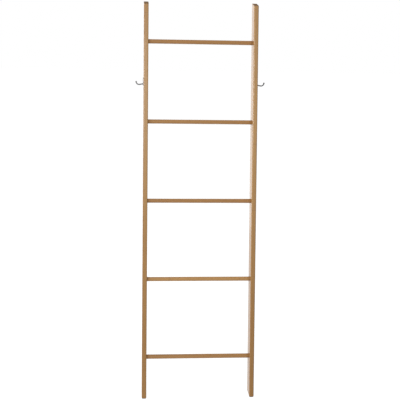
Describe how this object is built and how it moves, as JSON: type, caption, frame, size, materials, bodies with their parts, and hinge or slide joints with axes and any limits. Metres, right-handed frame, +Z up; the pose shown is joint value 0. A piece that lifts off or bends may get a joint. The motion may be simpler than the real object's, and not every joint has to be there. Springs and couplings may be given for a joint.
{
  "type": "leaning blanket ladder",
  "caption": "Leaning bamboo ladder for blankets and towels: slim rectangular rails with level feet, round rungs bolted between them and a small metal hook at each side.",
  "frame": {"origin": "on the floor plane, under the middle of the ladder's overall box", "axes": "+Z up; -Y towards the person in front of it; +Y towards the wall that it leans on; +X to the right seen from the front"},
  "size_m": [0.582, 0.5022, 1.7129],
  "materials": {
    "rail_bamboo": "clear satin lacquer on laminated bamboo",
    "rung_bamboo": "clear satin lacquer on turned bamboo",
    "bolt_steel": "zinc-plated steel",
    "insert_brass": "plain machined brass",
    "hook_metal": "dark satin nickel",
    "screw_steel": "nickel-plated steel",
    "pad_rubber": "matt dark rubber"
  },
  "bodies": {
    "root": {"rung_1": "rung_bamboo", "rung_2": "rung_bamboo", "rung_3": "rung_bamboo", "rung_4": "rung_bamboo", "rung_5": "rung_bamboo", "left_rail": "rail_bamboo", "left_bolt_1": "bolt_steel", "left_insert_1": "insert_brass", "left_bolt_2": "bolt_steel", "left_insert_2": "insert_brass", "left_bolt_3": "bolt_steel", "left_insert_3": "insert_brass", "left_bolt_4": "bolt_steel", "left_insert_4": "insert_brass", "left_bolt_5": "bolt_steel", "left_insert_5": "insert_brass", "left_hook": "hook_metal", "left_hook_upper_screw": "screw_steel", "left_hook_lower_screw": "screw_steel", "left_foot_pad": "pad_rubber", "left_wall_pad": "pad_rubber", "right_rail": "rail_bamboo", "right_bolt_1": "bolt_steel", "right_insert_1": "insert_brass", "right_bolt_2": "bolt_steel", "right_insert_2": "insert_brass", "right_bolt_3": "bolt_steel", "right_insert_3": "insert_brass", "right_bolt_4": "bolt_steel", "right_insert_4": "insert_brass", "right_bolt_5": "bolt_steel", "right_insert_5": "insert_brass", "right_hook": "hook_metal", "right_hook_upper_screw": "screw_steel", "right_hook_lower_screw": "screw_steel", "right_foot_pad": "pad_rubber", "right_wall_pad": "pad_rubber"}
  },
  "joints": []
}
